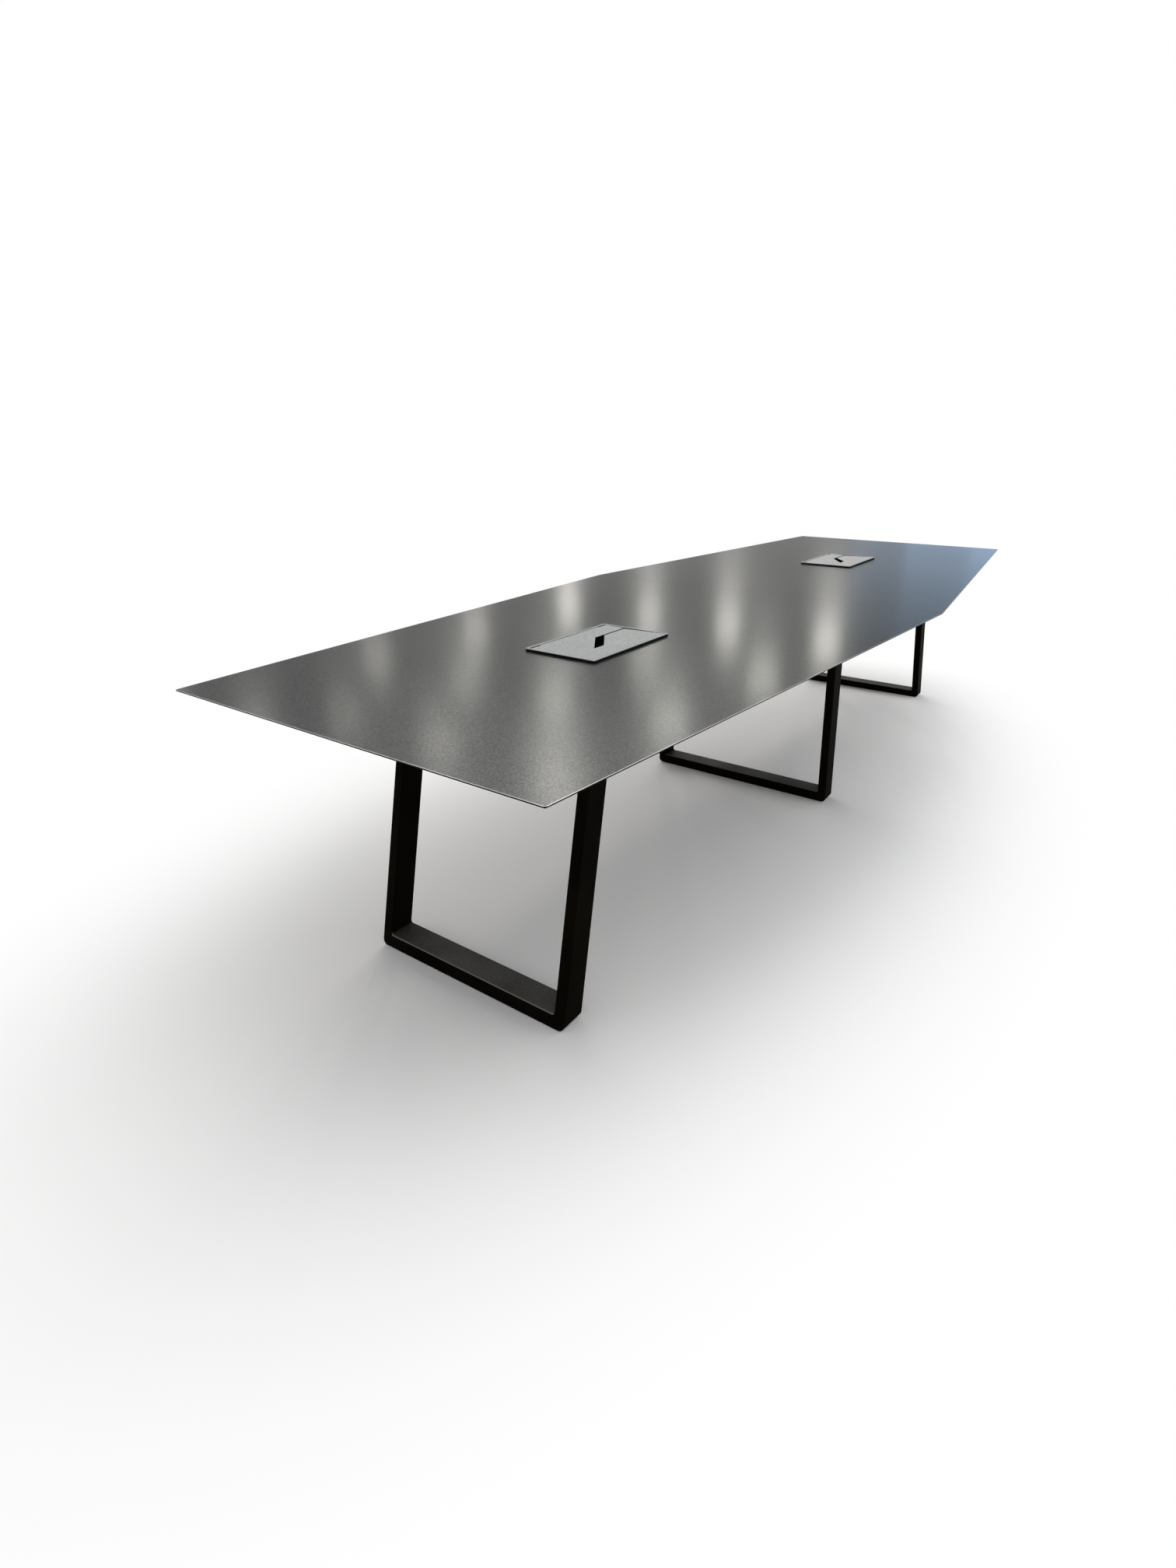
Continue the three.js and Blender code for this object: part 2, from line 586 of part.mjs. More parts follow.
// Socket block: a bar along one wall of the well with a face sloping up to the wall.
function moduleBar() {
  const back = WELL_WIDTH / 2 - MODULE_GAP;
  const front = back - MODULE_DEEP;
  const outline = polygon([
    [front, WELL_FLOOR],
    [back, WELL_FLOOR],
    [back, WELL_FLOOR + MODULE_TALL],
    [back - MODULE_SHELF, WELL_FLOOR + MODULE_TALL],
    [front, WELL_FLOOR + MODULE_LIP],
  ]);
  return lengthwisePrism(outline, -MODULE_LENGTH / 2, MODULE_LENGTH / 2);
}

// Sinks a cut, drawn flat with its mouth at z = 0, into the sloping face at the length x.
function intoFace(cut, x) {
  const back = WELL_WIDTH / 2 - MODULE_GAP;
  const run = MODULE_DEEP - MODULE_SHELF;
  const climb = MODULE_TALL - MODULE_LIP;
  const slope = THREE.MathUtils.radToDeg(Math.atan2(climb, run));
  const y = back - MODULE_DEEP + run / 2;
  const z = WELL_FLOOR + MODULE_LIP + climb / 2;
  return cut.rotate([slope, 0, 0]).translate([x, y, z]);
}

// Places of a row of sockets, evenly spread along a block.
function spread(count) {
  const pitch = MODULE_LENGTH / count;
  return Array.from({ length: count }, (_, i) => (i - (count - 1) / 2) * pitch);
}

// Power block with its outlets: a shallow seat, two blade slots and a round earth hole each.
function powerModule() {
  const over = 1;
  const seat = block(-17, 17, -14, 14, -1.5, over);
  const blades = block(-7.6, -5.2, -4, 5, -12, over).add(block(5.2, 7.6, -4, 5, -12, over));
  const outlet = seat.add(blades).add(uprightRod(0, -8, -12, over, 2.6, 12));
  let made = moduleBar();
  for (const x of spread(OUTLETS)) {
    made = made.subtract(intoFace(outlet, x));
  }
  return made;
}

// Data block, on the front wall, with a row of shallow shuttered jacks.
function dataModule() {
  const jack = block(-8, 8, -7, 7, -3, 1);
  let made = moduleBar();
  for (const x of spread(JACKS)) {
    made = made.subtract(intoFace(jack, x));
  }
  return made.rotate([0, 0, 180]);
}

// Clamp: an angle on each long side of the well that bears up on the underside of the table.
function clamp() {
  const wall = BODY_WIDTH / 2;
  const half = CLAMP_LENGTH / 2;
  const foot = block(-half, half, wall, wall + CLAMP_FOOT, UNDERSIDE - CLAMP_THICK, UNDERSIDE);
  return foot.add(block(-half, half, wall, wall + CLAMP_THICK, UNDERSIDE - CLAMP_DROP, UNDERSIDE));
}

for (const [name, x] of [
  ["box_left", -BOX_X],
  ["box_right", BOX_X],
]) {
  const rodHalf = BAY_LENGTH / 2 + ROD_LAP;
  put(name + "_housing", housing(), blackPlastic, x);
  put(name + "_trim", trim(), aluminium, x);
  put(name + "_door_rear", door(true), aluminium, x);
  put(name + "_door_front", door(false).rotate([0, 0, 180]), aluminium, x);
  put(name + "_rod_rear", lengthwiseRod(-rodHalf, rodHalf, AXIS_Y, AXIS_Z, ROD_R), zincSteel, x);
  put(name + "_rod_front", lengthwiseRod(-rodHalf, rodHalf, -AXIS_Y, AXIS_Z, ROD_R), zincSteel, x);
  put(name + "_power", powerModule(), blackPlastic, x);
  put(name + "_data", dataModule(), blackPlastic, x);
  put(name + "_clamp_rear", clamp(), zincSteel, x);
  put(name + "_clamp_front", clamp().rotate([0, 0, 180]), zincSteel, x);
}

export default table;
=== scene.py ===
"""Looks of a conference table: laminate top, black flat-tube legs and two power boxes.

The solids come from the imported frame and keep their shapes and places. This script gives them
their finishes, adds small trim in the power boxes, and sets up the camera, room and floor.
"""

import math

import bpy
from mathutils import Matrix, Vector


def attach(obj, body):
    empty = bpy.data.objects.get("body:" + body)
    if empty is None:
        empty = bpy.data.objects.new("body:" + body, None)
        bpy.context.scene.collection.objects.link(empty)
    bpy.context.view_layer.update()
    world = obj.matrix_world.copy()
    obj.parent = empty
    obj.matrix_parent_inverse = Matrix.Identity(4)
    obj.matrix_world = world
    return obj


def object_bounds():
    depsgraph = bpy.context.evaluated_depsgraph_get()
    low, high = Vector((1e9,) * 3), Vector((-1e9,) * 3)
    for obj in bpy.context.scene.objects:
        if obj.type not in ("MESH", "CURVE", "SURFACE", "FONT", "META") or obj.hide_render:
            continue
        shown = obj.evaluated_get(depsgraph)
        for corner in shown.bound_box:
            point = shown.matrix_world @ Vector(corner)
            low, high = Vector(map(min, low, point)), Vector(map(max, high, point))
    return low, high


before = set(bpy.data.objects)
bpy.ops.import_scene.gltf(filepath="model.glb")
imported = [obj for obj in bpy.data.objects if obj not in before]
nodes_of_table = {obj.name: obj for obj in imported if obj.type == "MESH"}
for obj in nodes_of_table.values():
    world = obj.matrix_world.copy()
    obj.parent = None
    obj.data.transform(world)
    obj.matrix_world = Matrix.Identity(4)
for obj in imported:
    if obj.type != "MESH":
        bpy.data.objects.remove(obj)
cad_low, cad_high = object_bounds()

# Camera: stands off the near left corner, a little above eye level when seated.
# Its place and lens were fitted to the straight edges of the table in the picture.
# The picture is cropped off centre, which the two shifts give.
PICTURE_WIDE = 1512
PICTURE_TALL = 2016
FOCAL_PIXELS = 1018.53
AXIS_PIXEL = (805.75, 891.63)
SENSOR_MM = 36.0
NEAREST_SEEN = 0.01
FARTHEST_SEEN = 200.0
CAMERA_PLACE = (-2.66703, -1.24601, 1.27765)
CAMERA_PITCH = 72.3579
CAMERA_ROLL = -0.0455
CAMERA_HEADING = -56.0597

camera_data = bpy.data.cameras.new("camera")
camera_data.sensor_fit = "AUTO"
camera_data.sensor_width = SENSOR_MM
camera_data.lens = SENSOR_MM * FOCAL_PIXELS / PICTURE_TALL
camera_data.shift_x = (PICTURE_WIDE / 2 - AXIS_PIXEL[0]) / PICTURE_TALL
camera_data.shift_y = (AXIS_PIXEL[1] - PICTURE_TALL / 2) / PICTURE_TALL
camera_data.clip_start = NEAREST_SEEN
camera_data.clip_end = FARTHEST_SEEN
camera = bpy.data.objects.new("camera", camera_data)
camera.location = CAMERA_PLACE
camera.rotation_euler = [math.radians(a) for a in (CAMERA_PITCH, CAMERA_ROLL, CAMERA_HEADING)]
bpy.context.scene.collection.objects.link(camera)
bpy.context.scene.camera = camera

# Room: a white surround that lights evenly, and a large softbox overhead for a soft shadow.
# Small ceiling lamps and a faint glow behind the table draw the streaks on the satin top.
# Four window panes beyond the far end cool its far corner.
WHITE = (1.0, 1.0, 1.0, 1.0)
WORLD_LIGHT = 0.66
WORLD_SEEN = 1.0
SOFTBOX_PLACE = (0.9, -1.2, 4.4)
SOFTBOX_SIZE = (5.0, 3.5)
SOFTBOX_POWER = 74.0
SOFTBOX_COLOUR = (1.0, 1.0, 1.0)
LAMP_HEIGHT = 2.6
LAMP_ACROSS = 0.34
LAMP_POWER = 3.7
LAMP_COLOUR = (1.0, 0.95, 0.88)
# Each lamp or pane: its place along and across the table, and its share of the power.
LAMP_PLACES = (
    (3.0, 6.0, 1.9), (4.6, 6.0, 2.4), (6.55, 6.0, 4.7), (0.8, 6.2, 1.2), (0.9, 5.0, 1.4),
    (1.5, 4.6, 1.1), (3.0, 4.6, 1.5), (6.6, 4.6, 3.4), (1.5, 3.4, 1.5), (3.0, 3.4, 2.2),
    (4.4, 3.3, 1.5), (6.65, 3.4, 4.5), (1.4, 2.1, 1.8), (3.0, 2.1, 2.7), (4.7, 2.0, 3.5),
    (6.55, 2.0, 5.6),
)
GLOW_PLACE = (2.7, 5.9, 2.6)
GLOW_SIZE = (4.4, 1.0)
GLOW_POWER = 9.0
PANE_PLACES = ((9.2, -0.35, 1.25), (9.2, 0.55, 0.8), (9.2, 1.4, 0.5), (9.2, 2.2, 0.25))
PANE_HEIGHT = 2.1
PANE_SIZE = (0.85, 2.0)
PANE_POWER = 23.0
PANE_COLOUR = (0.38, 0.64, 1.0)

bpy.context.scene.view_settings.view_transform = "Standard"
surround = bpy.data.worlds.new("surround")
bpy.context.scene.world = surround
surround.use_nodes = True
sky = surround.node_tree.nodes
sky_links = surround.node_tree.links
sky.clear()
sky_out = sky.new("ShaderNodeOutputWorld")
lighting = sky.new("ShaderNodeBackground")
lighting.inputs["Color"].default_value = WHITE
lighting.inputs["Strength"].default_value = WORLD_LIGHT
seen = sky.new("ShaderNodeBackground")
seen.inputs["Color"].default_value = WHITE
seen.inputs["Strength"].default_value = WORLD_SEEN


def seen_rays(tree):
    """One where a ray comes from the camera, a reflection or clear material, else none."""
    path = tree.nodes.new("ShaderNodeLightPath")
    first = tree.nodes.new("ShaderNodeMath")
    first.operation = "MAXIMUM"
    tree.links.new(path.outputs["Is Camera Ray"], first.inputs[0])
    tree.links.new(path.outputs["Is Glossy Ray"], first.inputs[1])
    both = tree.nodes.new("ShaderNodeMath")
    both.operation = "MAXIMUM"
    tree.links.new(first.outputs[0], both.inputs[0])
    tree.links.new(path.outputs["Is Transmission Ray"], both.inputs[1])
    return both.outputs[0]


sky_mix = sky.new("ShaderNodeMixShader")
sky_links.new(seen_rays(surround.node_tree), sky_mix.inputs[0])
sky_links.new(lighting.outputs[0], sky_mix.inputs[1])
sky_links.new(seen.outputs[0], sky_mix.inputs[2])
sky_links.new(sky_mix.outputs[0], sky_out.inputs["Surface"])


def hang_light(name, place, size, power, colour):
    """An area light that faces the middle of the table top, round if it has one size."""
    data = bpy.data.lights.new(name, "AREA")
    data.shape = "DISK" if len(size) == 1 else "RECTANGLE"
    data.size = size[0]
    if len(size) == 2:
        data.size_y = size[1]
    data.energy = power
    data.color = colour
    light = bpy.data.objects.new(name, data)
    light.location = place
    towards = Vector((0.0, 0.0, cad_high.z)) - light.location
    light.rotation_euler = towards.to_track_quat("-Z", "Y").to_euler()
    bpy.context.scene.collection.objects.link(light)


hang_light("softbox", SOFTBOX_PLACE, SOFTBOX_SIZE, SOFTBOX_POWER, SOFTBOX_COLOUR)
for number, (pane_x, pane_y, share) in enumerate(PANE_PLACES):
    place = (pane_x, pane_y, PANE_HEIGHT)
    power = share * PANE_POWER
    hang_light(f"window_pane_{number + 1}", place, PANE_SIZE, power, PANE_COLOUR)
hang_light("ceiling_glow", GLOW_PLACE, GLOW_SIZE, GLOW_POWER, LAMP_COLOUR)
for number, (lamp_x, lamp_y, share) in enumerate(LAMP_PLACES):
    place = (lamp_x, lamp_y, LAMP_HEIGHT)
    power = share * LAMP_POWER
    hang_light(f"ceiling_lamp_{number + 1}", place, (LAMP_ACROSS,), power, LAMP_COLOUR)

# Floor: a matt near-white ground, level, that only takes the shadow of the table.
# Outside an oval round the table it turns into the same white as the surround, so that
# no horizon shows.
FLOOR_ACROSS = 120.0
FLOOR_CELLS = 8
FLOOR_COLOUR = (0.96, 0.96, 0.96, 1.0)
SHADOW_CENTRE_X = -0.1
SHADOW_CENTRE_Y = 0.2
SHADOW_REACH_X = 1.9
SHADOW_REACH_Y = 0.95
FLOOR_FADE_FROM = 0.8
FLOOR_FADE_TO = 1.55

bpy.ops.object.select_all(action="DESELECT")
bpy.ops.mesh.primitive_grid_add(
    x_subdivisions=FLOOR_CELLS,
    y_subdivisions=FLOOR_CELLS,
    size=FLOOR_ACROSS,
)
floor = bpy.context.object
floor.name = "floor"
ground = bpy.data.materials.new("pale_ground")
ground.use_nodes = True
ground_nodes = ground.node_tree.nodes
ground_links = ground.node_tree.links
ground_shader = ground_nodes["Principled BSDF"]
ground_shader.inputs["Base Color"].default_value = FLOOR_COLOUR
ground_shader.inputs["Roughness"].default_value = 1.0
ground_shader.inputs["Specular IOR Level"].default_value = 0.0
ground_where = ground_nodes.new("ShaderNodeTexCoord")
ground_oval = ground_nodes.new("ShaderNodeMapping")
ground_oval.inputs["Location"].default_value = (
    -SHADOW_CENTRE_X / SHADOW_REACH_X,
    -SHADOW_CENTRE_Y / SHADOW_REACH_Y,
    0.0,
)
ground_oval.inputs["Scale"].default_value = (1.0 / SHADOW_REACH_X, 1.0 / SHADOW_REACH_Y, 1.0)
ground_links.new(ground_where.outputs["Object"], ground_oval.inputs["Vector"])
ground_far = ground_nodes.new("ShaderNodeVectorMath")
ground_far.operation = "LENGTH"
ground_links.new(ground_oval.outputs["Vector"], ground_far.inputs[0])
ground_fade = ground_nodes.new("ShaderNodeMapRange")
ground_fade.interpolation_type = "SMOOTHSTEP"
ground_fade.inputs["From Min"].default_value = FLOOR_FADE_FROM
ground_fade.inputs["From Max"].default_value = FLOOR_FADE_TO
ground_links.new(ground_far.outputs["Value"], ground_fade.inputs["Value"])
ground_seen = ground_nodes.new("ShaderNodeMath")
ground_seen.operation = "MULTIPLY"
ground_links.new(ground_fade.outputs["Result"], ground_seen.inputs[0])
ground_links.new(seen_rays(ground.node_tree), ground_seen.inputs[1])
ground_glow = ground_nodes.new("ShaderNodeEmission")
ground_glow.inputs["Color"].default_value = WHITE
ground_glow.inputs["Strength"].default_value = WORLD_SEEN
ground_mix = ground_nodes.new("ShaderNodeMixShader")
ground_links.new(ground_seen.outputs[0], ground_mix.inputs[0])
ground_links.new(ground_shader.outputs[0], ground_mix.inputs[1])
ground_links.new(ground_glow.outputs[0], ground_mix.inputs[2])
ground_links.new(ground_mix.outputs[0], ground_nodes["Material Output"].inputs["Surface"])
floor.data.materials.append(ground)

# Top: two halves of board faced with a dark grey metallic laminate, with a knife edge.
# The upper arris and a thin band along the rim of the top face carry a painted highlight, the
# bevel below is painted near black, and the joint between the halves shows as a fine dark line.
LAMINATE_DARK = (0.084, 0.087, 0.087, 1.0)
LAMINATE_LIGHT = (0.176, 0.181, 0.180, 1.0)
LAMINATE_FLAKE = (0.36, 0.36, 0.365, 1.0)
# Painted highlight on the upper arris and the rim of the top face.
TOP_ARRIS_HIGHLIGHT = (0.42, 0.42, 0.42, 1.0)
BEVEL_PAINT = (0.006, 0.006, 0.006, 1.0)
SEAM_COLOUR = (0.055, 0.055, 0.055, 1.0)
LAMINATE_TINT = (0.25, 0.25, 0.25, 1.0)
LAMINATE_METALLIC = 0.94
LAMINATE_ROUGHNESS = (0.282, 0.294)
GRAIN_PER_METRE = 300.0
FLAKE_PER_METRE = 620.0
FLAKE_EDGE = (0.12, 0.22)
FLAKE_SHARE = 0.25
PRESS_PER_METRE = 1500.0
CLOUD_PER_METRE = 2.0
CLOUD_SHARE = 0.10
HANDLING_PER_METRE = 60.0
LEVEL_FACE = (0.9, 0.98)
UPPER_SIDE = (0.2, 0.5)
TOP_HALF_LONG = 1.829
TOP_HALF_WIDE = 0.686
TOP_TAPER = 0.0834
TOP_HIGHLIGHT_WIDE = 0.0022
TOP_HIGHLIGHT_FADE = 0.3
SEAM_HALF_WIDE = 0.0011
SEAM_FADE = 0.5
# A noise keeps mostly within the wide span. The narrow span gives it more contrast.
WIDE_SPAN = (0.3, 0.7)
NARROW_SPAN = (0.35, 0.65)
FULL_SPAN = (0.0, 1.0)


class Finish:
    """One material and the short calls that wire up its pattern."""

    # Sockets of a mix node that hold colours.
    FIRST_COLOUR = 6
    SECOND_COLOUR = 7
    MIXED_COLOUR = 2

    def __init__(self, name):
        self.made = bpy.data.materials.new(name)
        self.made.use_nodes = True
        self.tree = self.made.node_tree
        self.shader = self.tree.nodes["Principled BSDF"]
        self.where = self.tree.nodes.new("ShaderNodeTexCoord")
        facing = self.tree.nodes.new("ShaderNodeSeparateXYZ")
        self.tree.links.new(self.where.outputs["Normal"], facing.inputs[0])
        self.facing_along = facing.outputs["X"]
        self.facing_up = facing.outputs["Z"]
        place = self.tree.nodes.new("ShaderNodeSeparateXYZ")
        self.tree.links.new(self.where.outputs["Object"], place.inputs[0])
        self.along = place.outputs["X"]
        self.across = place.outputs["Y"]
        self.height = place.outputs["Z"]

    def fixed(self, **values):
        """Sets sockets that are the same all over."""
        for name, value in values.items():
            self.shader.inputs[name.replace("_", " ")].default_value = value

    def stretched(self, scale):
        """Object coordinates with their own scale along each direction."""
        mapping = self.tree.nodes.new("ShaderNodeMapping")
        mapping.inputs["Scale"].default_value = scale
        self.tree.links.new(self.where.outputs["Object"], mapping.inputs["Vector"])
        return mapping.outputs["Vector"]

    def noise(self, scale=1.0, detail=2.0, roughness=0.5, vector=None):
        """A soft random pattern, so many features to the metre."""
        texture = self.tree.nodes.new("ShaderNodeTexNoise")
        texture.inputs["Scale"].default_value = scale
        texture.inputs["Detail"].default_value = detail
        texture.inputs["Roughness"].default_value = roughness
        self.tree.links.new(vector or self.where.outputs["Object"], texture.inputs["Vector"])
        return texture.outputs["Fac"]

    def cells(self, scale):
        """Distance from the nearest of many scattered points."""
        texture = self.tree.nodes.new("ShaderNodeTexVoronoi")
        texture.inputs["Scale"].default_value = scale
        self.tree.links.new(self.where.outputs["Object"], texture.inputs["Vector"])
        return texture.outputs["Distance"]

    def range(self, value, span, result=FULL_SPAN):
        """Value from one end of span to the other becomes result, held at the ends."""
        node = self.tree.nodes.new("ShaderNodeMapRange")
        node.inputs["From Min"].default_value = span[0]
        node.inputs["From Max"].default_value = span[1]
        node.inputs["To Min"].default_value = result[0]
        node.inputs["To Max"].default_value = result[1]
        self.tree.links.new(value, node.inputs["Value"])
        return node.outputs["Result"]

    def calculate(self, operation, *terms):
        """One step of arithmetic on patterns and plain numbers."""
        node = self.tree.nodes.new("ShaderNodeMath")
        node.operation = operation
        for socket, value in zip(node.inputs, terms):
            if isinstance(value, float):
                socket.default_value = value
            else:
                self.tree.links.new(value, socket)
        return node.outputs[0]

    def blend(self, share, first, second):
        """Colour that goes from first to second as share goes from none to one."""
        node = self.tree.nodes.new("ShaderNodeMix")
        node.data_type = "RGBA"
        self.tree.links.new(share, node.inputs["Factor"])
        for number, colour in ((self.FIRST_COLOUR, first), (self.SECOND_COLOUR, second)):
            if isinstance(colour, tuple):
                node.inputs[number].default_value = colour
            else:
                self.tree.links.new(colour, node.inputs[number])
        return node.outputs[self.MIXED_COLOUR]

    def feed(self, **sockets):
        """Wires patterns into the shader."""
        for name, value in sockets.items():
            self.tree.links.new(value, self.shader.inputs[name.replace("_", " ")])

    def relief(self, height, strength, depth):
        """Lets a pattern roughen how the surface takes light."""
        bump = self.tree.nodes.new("ShaderNodeBump")
        bump.inputs["Strength"].default_value = strength
        bump.inputs["Distance"].default_value = depth
        self.tree.links.new(height, bump.inputs["Height"])
        self.tree.links.new(bump.outputs[0], self.shader.inputs["Normal"])

    def wear(self, *names):
        """Puts this finish on CAD nodes."""
        for name in names:
            for slot in nodes_of_table[name].material_slots:
                slot.material = self.made


laminate = Finish("grey_metallic_laminate")
grain = laminate.noise(GRAIN_PER_METRE, detail=2.0, roughness=0.6)
clouds = laminate.noise(CLOUD_PER_METRE, detail=0.0)
handling = laminate.noise(HANDLING_PER_METRE, detail=3.0)
pressing = laminate.noise(PRESS_PER_METRE, detail=1.0)
in_flake = laminate.range(laminate.cells(FLAKE_PER_METRE), FLAKE_EDGE, (FLAKE_SHARE, 0.0))
is_face = laminate.range(laminate.facing_up, LEVEL_FACE)
is_upper = laminate.range(laminate.facing_up, UPPER_SIDE)
grey = laminate.blend(laminate.range(grain, WIDE_SPAN), LAMINATE_DARK, LAMINATE_LIGHT)
in_cloud = laminate.range(clouds, WIDE_SPAN, (0.0, CLOUD_SHARE))
tone = laminate.blend(in_cloud, grey, LAMINATE_LIGHT)
flaked = laminate.blend(in_flake, tone, LAMINATE_FLAKE)
from_seam = laminate.calculate("ABSOLUTE", laminate.along)
from_middle = laminate.calculate("ABSOLUTE", laminate.across)
past_end = laminate.calculate("SUBTRACT", from_seam, TOP_HALF_LONG)
widened = laminate.calculate("MULTIPLY_ADD", from_seam, TOP_TAPER, from_middle)
past_side = laminate.calculate("SUBTRACT", widened, TOP_HALF_WIDE)
past_edge = laminate.calculate("MAXIMUM", past_end, past_side)
# Painted highlight: the arris and a thin band at the rim of the top face are coloured light.
at_rim_highlight = laminate.range(past_edge, (-TOP_HIGHLIGHT_WIDE, -TOP_HIGHLIGHT_FADE * TOP_HIGHLIGHT_WIDE))
at_seam = laminate.range(from_seam, (SEAM_HALF_WIDE, SEAM_FADE * SEAM_HALF_WIDE))
jointed = laminate.blend(at_seam, flaked, SEAM_COLOUR)
rim_highlighted = laminate.blend(at_rim_highlight, jointed, TOP_ARRIS_HIGHLIGHT)
arris_highlighted = laminate.blend(is_face, TOP_ARRIS_HIGHLIGHT, rim_highlighted)
laminate.feed(
    Base_Color=laminate.blend(is_upper, BEVEL_PAINT, arris_highlighted),
    Metallic=laminate.range(is_upper, FULL_SPAN, (0.0, LAMINATE_METALLIC)),
    Roughness=laminate.range(handling, WIDE_SPAN, LAMINATE_ROUGHNESS),
)
laminate.fixed(Specular_IOR_Level=0.06, Specular_Tint=LAMINATE_TINT)
laminate.fixed(Coat_Weight=0.05, Coat_Roughness=0.16)
laminate.relief(pressing, strength=0.02, depth=0.000004)
laminate.wear("top_left", "top_right")

# Seam: a loose beech tongue glued into both halves, and two zinc-plated draw bolts that
# pull them together from cleats let into the underside.
BEECH_PALE = (0.52, 0.34, 0.19, 1.0)
BEECH_DEEP = (0.38, 0.22, 0.11, 1.0)
BEECH_RAYS_PER_METRE = (220.0, 18.0, 220.0)
BEECH_ROUGHNESS = (0.75, 0.6)
ZINC_PALE = (0.58, 0.60, 0.62, 1.0)
ZINC_DULL = (0.40, 0.42, 0.44, 1.0)
ZINC_ROUGHNESS = (0.28, 0.42)
SPANGLE_PER_METRE = 420.0
SPANGLE_REACH = (0.0, 0.6)
DULLING_PER_METRE = 150.0

beech = Finish("beech_tongue")
ray_lines = beech.stretched(BEECH_RAYS_PER_METRE)
rays = beech.noise(detail=4.0, roughness=0.6, vector=ray_lines)
beech.feed(
    Base_Color=beech.blend(beech.range(rays, WIDE_SPAN), BEECH_DEEP, BEECH_PALE),
    Roughness=beech.range(rays, WIDE_SPAN, BEECH_ROUGHNESS),
)
beech.relief(rays, strength=0.2, depth=0.0002)
beech.wear("seam_spline")

zinc = Finish("zinc_plated_steel")
spangle = zinc.cells(SPANGLE_PER_METRE)
dulling = zinc.noise(DULLING_PER_METRE, detail=3.0)
zinc.feed(
    Base_Color=zinc.blend(zinc.range(dulling, NARROW_SPAN), ZINC_DULL, ZINC_PALE),
    Roughness=zinc.range(spangle, SPANGLE_REACH, ZINC_ROUGHNESS),
)
zinc.fixed(Metallic=1.0)
zinc.relief(dulling, strength=0.08, depth=0.0001)
zinc.wear("seam_bolt_front", "seam_bolt_rear")

# Legs: flat steel tube welded to an open frame with a plate across its top, its corners
# rounded and ground, then powder coated black. The coat has a fine orange peel. Faces that
# lie face up carry dust in drifts, lightened further by a painted sheen, and the foot's long
# upper edges carry a painted highlight.
LEGS = ("left", "mid", "right")
COAT_BLACK = (0.0020, 0.0015, 0.0008, 1.0)
COAT_WARM = (0.0044, 0.0031, 0.0014, 1.0)
# Dust, and a painted sheen, on faces that lie face up.
COAT_DUST_AND_SHEEN = (0.112, 0.110, 0.106, 1.0)
# Painted highlight on the foot's long upper edges.
FOOT_ARRIS_HIGHLIGHT = (0.34, 0.335, 0.32, 1.0)
COAT_ROUGHNESS = (0.46, 0.58)
PEEL_PER_METRE = 750.0
TINT_PER_METRE = 9.0
DUST_AND_SHEEN_PER_METRE = 330.0
DUST_AND_SHEEN_SPAN = (0.32, 0.68)
DUST_AND_SHEEN_DRIFTS_PER_METRE = 6.0
DUST_AND_SHEEN_THIN_TO_FULL = (0.5, 1.0)
LYING_FACE = (0.75, 0.97)
ABOVE_UPRIGHT = (0.45, 0.6)
SHORT_OF_LEVEL = (0.97, 0.85)
FACING_ENDWAYS = (0.3, 0.5)
FOOT_TOP = 0.045
FOOT_FADE = 0.002

coat = Finish("black_powder_coat")
peel = coat.noise(PEEL_PER_METRE, detail=2.0)
tint = coat.noise(TINT_PER_METRE, detail=3.0)
dust_and_sheen_grain = coat.noise(DUST_AND_SHEEN_PER_METRE, detail=4.0, roughness=0.6)
black = coat.blend(coat.range(tint, NARROW_SPAN), COAT_BLACK, COAT_WARM)
dust_and_sheen_drifts = coat.range(coat.noise(DUST_AND_SHEEN_DRIFTS_PER_METRE, detail=1.0), NARROW_SPAN, DUST_AND_SHEEN_THIN_TO_FULL)
dust_and_sheen_specks = coat.range(dust_and_sheen_grain, DUST_AND_SHEEN_SPAN, DUST_AND_SHEEN_THIN_TO_FULL)
dust_and_sheen_patches = coat.calculate("MULTIPLY", dust_and_sheen_drifts, dust_and_sheen_specks)
# Faces that lie face up take dust and a painted sheen in drifts.
lying = coat.range(coat.facing_up, LYING_FACE)
dust_and_sheen = coat.calculate("MULTIPLY", lying, dust_and_sheen_patches)
# Painted highlight: the foot's long upper arrises are coloured light.
off_upright = coat.range(coat.facing_up, ABOVE_UPRIGHT)
off_level = coat.range(coat.facing_up, SHORT_OF_LEVEL)
on_arris = coat.calculate("MULTIPLY", off_upright, off_level)
at_foot = coat.range(coat.height, (FOOT_TOP, FOOT_TOP - FOOT_FADE))
on_foot_arris = coat.calculate("MULTIPLY", on_arris, at_foot)
endways = coat.range(coat.calculate("ABSOLUTE", coat.facing_along), FACING_ENDWAYS)
foot_arris_highlight = coat.calculate("MULTIPLY", on_foot_arris, endways)
coat.feed(
    Base_Color=coat.blend(foot_arris_highlight, coat.blend(dust_and_sheen, black, COAT_DUST_AND_SHEEN), FOOT_ARRIS_HIGHLIGHT),
    Roughness=coat.range(peel, WIDE_SPAN, COAT_ROUGHNESS),
)
coat.fixed(Specular_IOR_Level=0.008)
coat.relief(peel, strength=0.14, depth=0.00025)
coat.wear(*(f"leg_{leg}" for leg in LEGS))

# Rails: four folded steel channels under the leg plates, in the same coat as the legs.
# They tie the legs together and keep the long top from sagging.
coat.wear(*(f"rail_{side}_{end}" for side in ("left", "right") for end in ("front", "rear")))

